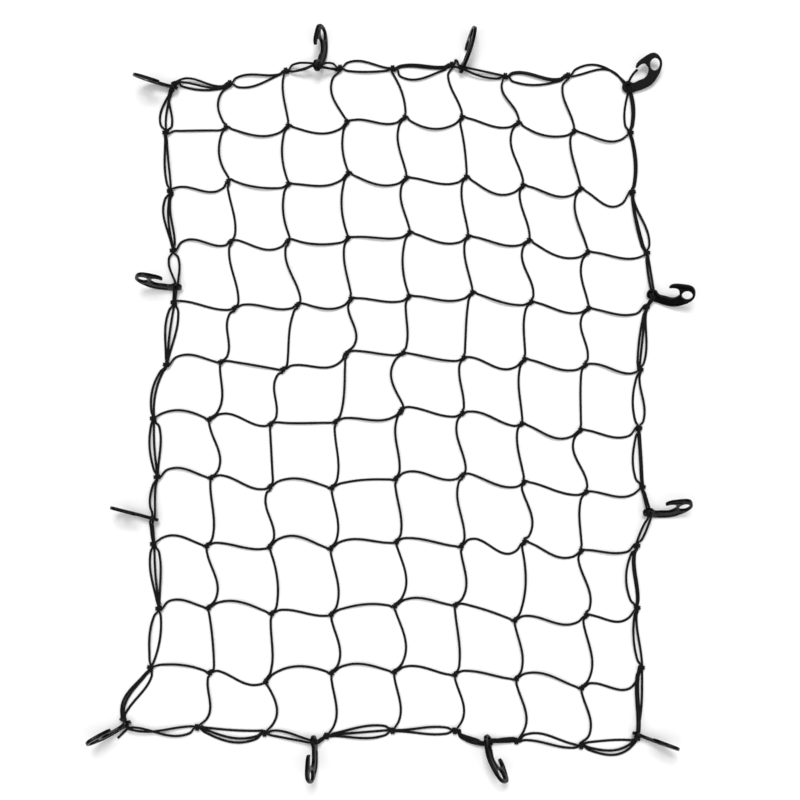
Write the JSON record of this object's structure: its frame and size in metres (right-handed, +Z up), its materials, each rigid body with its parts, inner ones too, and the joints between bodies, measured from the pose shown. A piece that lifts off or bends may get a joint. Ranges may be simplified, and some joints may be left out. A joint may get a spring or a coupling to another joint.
{
  "type": "elastic cargo net",
  "caption": "Flat elastic cargo net: a square mesh of knotted round cord inside a doubled cord edge, with flat moulded open hooks threaded on the edge.",
  "frame": {"origin": "centre of the bounding box, on the floor that the net lies on", "axes": "+Z up from the floor, +Y along the net's longer side, +X along its shorter side"},
  "size_m": [0.7366, 0.9369, 0.0454],
  "materials": {
    "cord": "braided polyester sheath over elastic, matt",
    "hook_plastic": "moulded black nylon, satin"
  },
  "bodies": {
    "root": {"cross_01": "cord", "cross_02": "cord", "cross_03": "cord", "cross_04": "cord", "cross_05": "cord", "cross_06": "cord", "cross_07": "cord", "cross_08": "cord", "cross_09": "cord", "cross_10": "cord", "edge_bottom": "cord", "edge_left": "cord", "edge_right": "cord", "edge_top": "cord", "hook_01": "hook_plastic", "hook_02": "hook_plastic", "hook_03": "hook_plastic", "hook_04": "hook_plastic", "hook_05": "hook_plastic", "hook_06": "hook_plastic", "hook_07": "hook_plastic", "hook_08": "hook_plastic", "hook_09": "hook_plastic", "hook_10": "hook_plastic", "hook_11": "hook_plastic", "hook_12": "hook_plastic", "length_1": "cord", "length_2": "cord", "length_3": "cord", "length_4": "cord", "length_5": "cord", "length_6": "cord", "length_7": "cord", "perimeter_bottom": "cord", "perimeter_left": "cord", "perimeter_right": "cord", "perimeter_top": "cord", "tail_bottom_left": "cord", "tail_top_right": "cord"}
  },
  "joints": []
}
